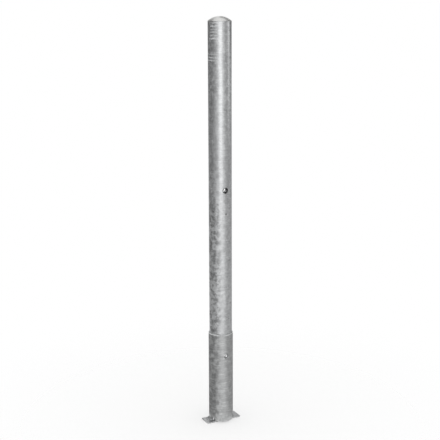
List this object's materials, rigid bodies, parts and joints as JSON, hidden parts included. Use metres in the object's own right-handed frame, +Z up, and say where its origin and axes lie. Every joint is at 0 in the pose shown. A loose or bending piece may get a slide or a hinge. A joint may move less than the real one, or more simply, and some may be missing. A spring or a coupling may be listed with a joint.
{
  "type": "removable bollard",
  "caption": "Removable steel tube bollard with a domed top, standing in a ground sleeve on a flat anchor bar and locked by a bolt that a triangular key stud drives.",
  "frame": {"origin": "centre of the anchor bar's underside, on the post's axis", "axes": "+Z up along the post, -Y towards the side with the key hole and the bolt hole, X along the anchor bar"},
  "size_m": [0.1254, 0.0824, 1.365],
  "materials": {
    "galvanised_post": "hot-dip galvanised, mottled spangle with drawn streaks",
    "galvanised_cap": "hot-dip galvanised, pale and even",
    "galvanised_sleeve": "hot-dip galvanised, dull with level streaks",
    "galvanised_bar": "hot-dip galvanised, dull grey",
    "galvanised_weld": "weld bead under zinc",
    "inner_steel": "dull zinc-plated steel",
    "bright_steel": "bright turned steel"
  },
  "bodies": {
    "ground_sleeve": {"anchor_bar": "galvanised_bar", "sleeve_tube": "galvanised_sleeve", "sleeve_weld": "galvanised_weld"},
    "post": {"post_tube": "galvanised_post", "post_cap": "galvanised_cap", "stud_bush": "inner_steel", "upper_strap": "inner_steel", "lower_strap": "inner_steel", "bolt_guide": "inner_steel"},
    "key_stud": {"key_stud": "bright_steel", "crank_arm": "inner_steel", "crank_pin": "bright_steel"},
    "lock_rod": {"rod_yoke": "inner_steel", "lift_rod": "inner_steel", "rod_collar": "inner_steel", "wedge_plate": "inner_steel"},
    "lock_bolt": {"lock_bolt": "bright_steel", "cross_pin": "bright_steel"}
  },
  "joints": [
    {"name": "post_lift", "type": "slide", "parent": "ground_sleeve", "child": "post", "axis": [0, 0, 1], "range_m": [0, 0.33]},
    {"name": "key_turn", "type": "hinge", "parent": "post", "child": "key_stud", "pos_m": [0, -0.02, 0.809], "axis": [0, 1, 0], "range_deg": [0, 90]},
    {"name": "rod_lift", "type": "slide", "parent": "post", "child": "lock_rod", "axis": [0, 0, 1], "range_m": [0, 0.01555]},
    {"name": "bolt_slide", "type": "slide", "parent": "post", "child": "lock_bolt", "axis": [0, -1, 0], "range_m": [0, 0.005]}
  ],
  "couplings": [
    {"joint": "key_turn", "follows": "rod_lift", "rad_per_m": 100.97},
    {"joint": "bolt_slide", "follows": "rod_lift", "ratio": 0.3214}
  ]
}
